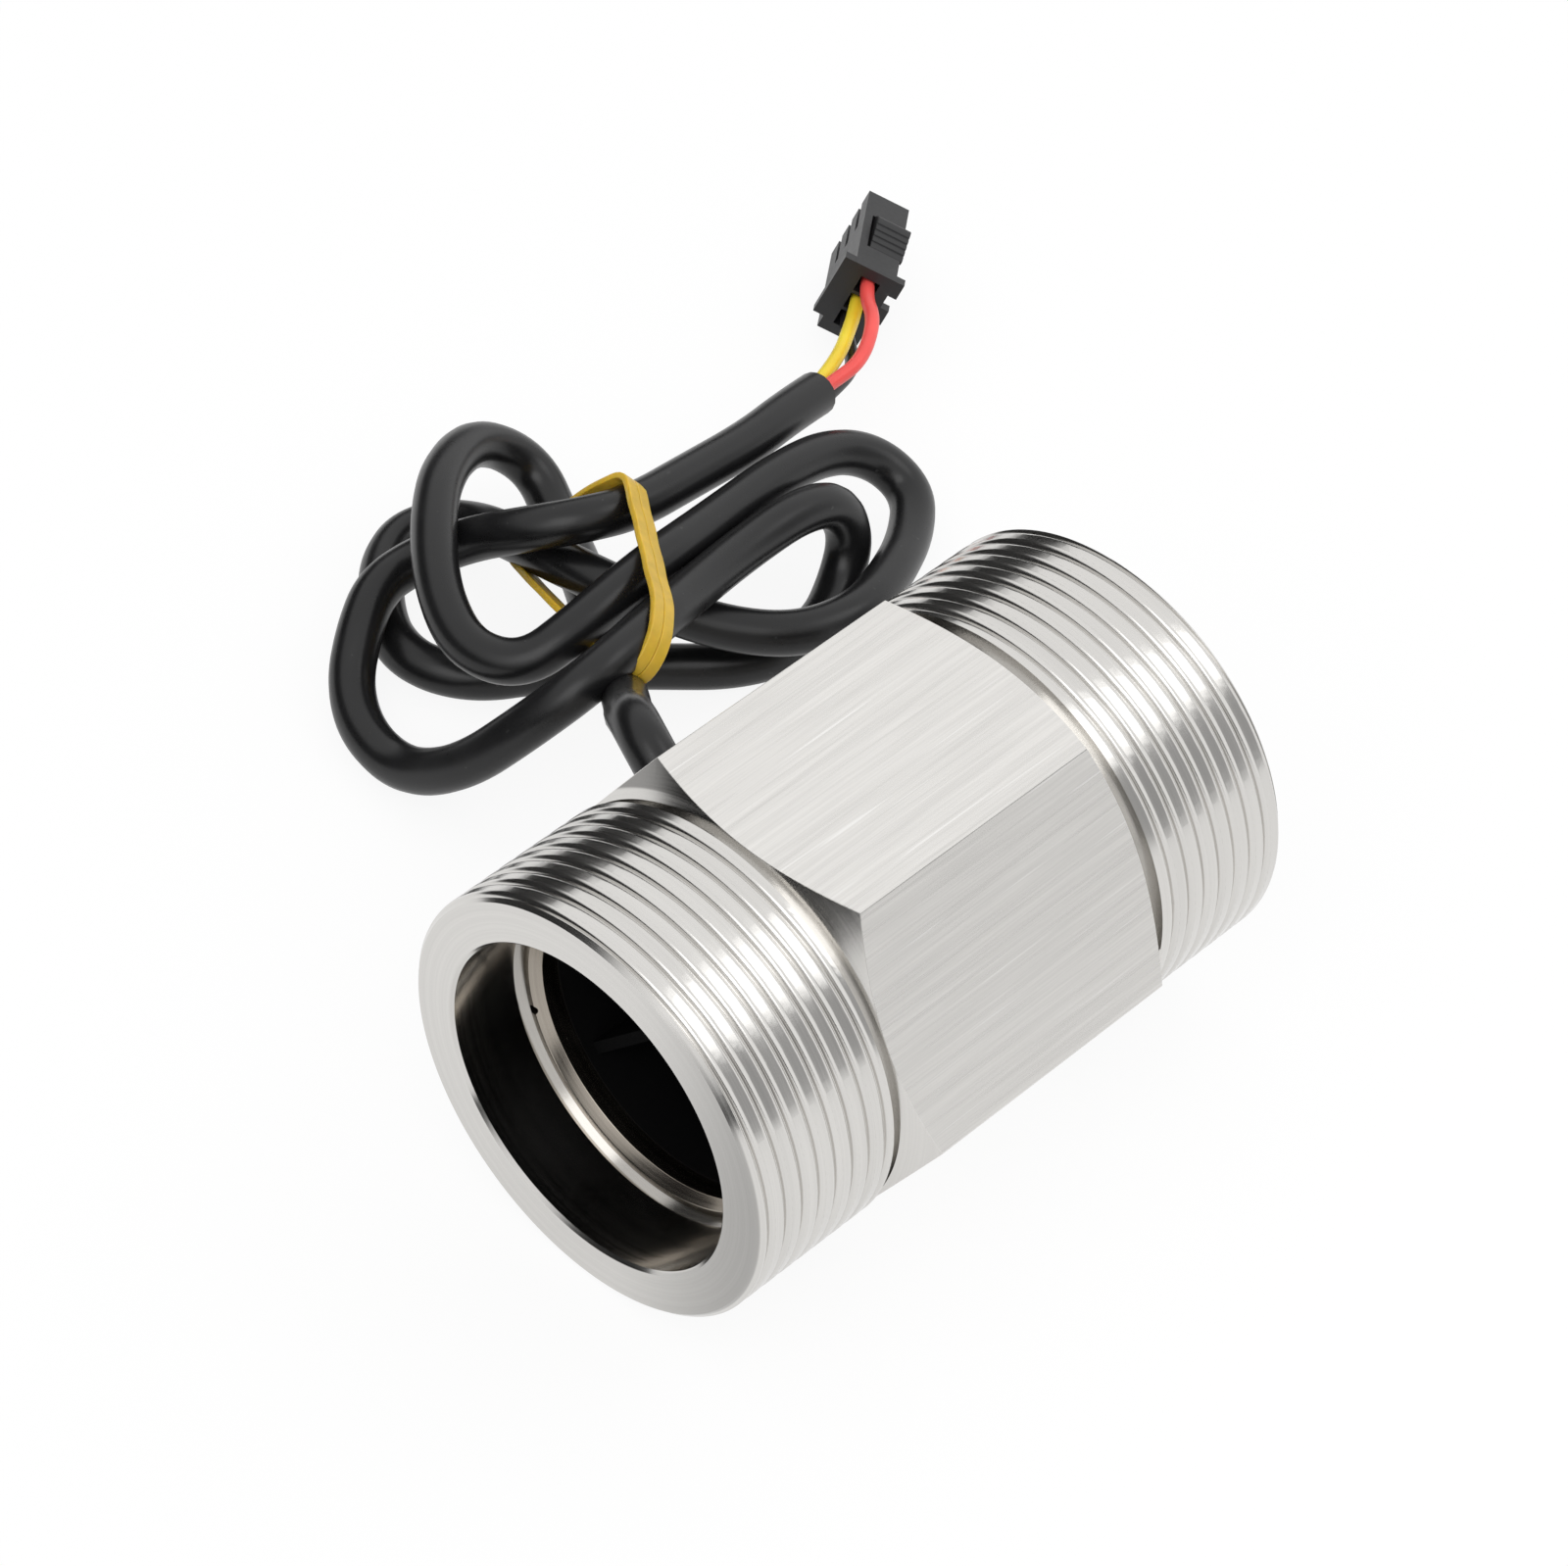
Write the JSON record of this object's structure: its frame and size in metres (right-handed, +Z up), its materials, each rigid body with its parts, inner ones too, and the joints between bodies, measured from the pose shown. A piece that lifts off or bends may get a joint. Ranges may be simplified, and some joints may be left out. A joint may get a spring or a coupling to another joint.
{
  "type": "turbine flow meter",
  "caption": "Inline turbine flow meter: hexagonal steel body with male pipe threads on both ends, turbine in its bore, potted Hall sensor and a banded cable with a plug.",
  "frame": {"origin": "middle of the bore's axis, half way between the two end faces", "axes": "+X along the bore from the inlet to the outlet, +Z up, the body lying on its thread crests"},
  "size_m": [0.1319, 0.1161, 0.0478],
  "materials": {
    "body_steel": "fine turned and milled",
    "ring_steel": "turned",
    "cartridge_plastic": "moulded",
    "seal_rubber": "smooth",
    "bush_bronze": "sintered",
    "thrust_ceramic": "polished ceramic",
    "shaft_steel": "ground",
    "rotor_plastic": "moulded",
    "magnet_plating": "plated",
    "board_green": "solder mask",
    "chip_black": "moulded",
    "potting_black": "cast resin",
    "sheath_black": "semi-gloss sheath",
    "wire_yellow": "smooth",
    "wire_red": "smooth",
    "wire_black": "smooth",
    "connector_black": "moulded",
    "contact_tin": "tinned",
    "band_amber": "smooth"
  },
  "bodies": {
    "meter": {"meter_body": "body_steel", "inlet_retaining_ring": "ring_steel", "outlet_retaining_ring": "ring_steel", "inlet_support": "cartridge_plastic", "outlet_support": "cartridge_plastic", "turbine_sleeve": "cartridge_plastic", "sleeve_seals": "seal_rubber", "inlet_bush": "bush_bronze", "outlet_bush": "bush_bronze", "inlet_thrust_pad": "thrust_ceramic", "outlet_thrust_pad": "thrust_ceramic", "sensor_board": "board_green", "hall_sensor": "chip_black", "board_chips": "chip_black", "sensor_potting": "potting_black", "sensor_cable": "sheath_black", "yellow_wire": "wire_yellow", "red_wire": "wire_red", "black_wire": "wire_black", "connector_housing": "connector_black", "connector_contacts": "contact_tin", "rubber_band": "band_amber"},
    "rotor": {"turbine_rotor": "rotor_plastic", "rotor_shaft": "shaft_steel", "rotor_magnets": "magnet_plating"},
    "latch": {"connector_latch": "connector_black"}
  },
  "joints": [
    {"name": "rotor_spin", "type": "hinge", "parent": "meter", "child": "rotor", "pos_m": [0, 0, 0], "axis": [1, 0, 0], "continuous": true},
    {"name": "latch_press", "type": "hinge", "parent": "meter", "child": "latch", "pos_m": [0.08371, 0.07498, -0.01208], "axis": [-0.5055, 0.7841, 0.36], "range_deg": [0, 3], "stiffness_Nm_per_rad": 0.05, "springref_deg": -2.86}
  ]
}
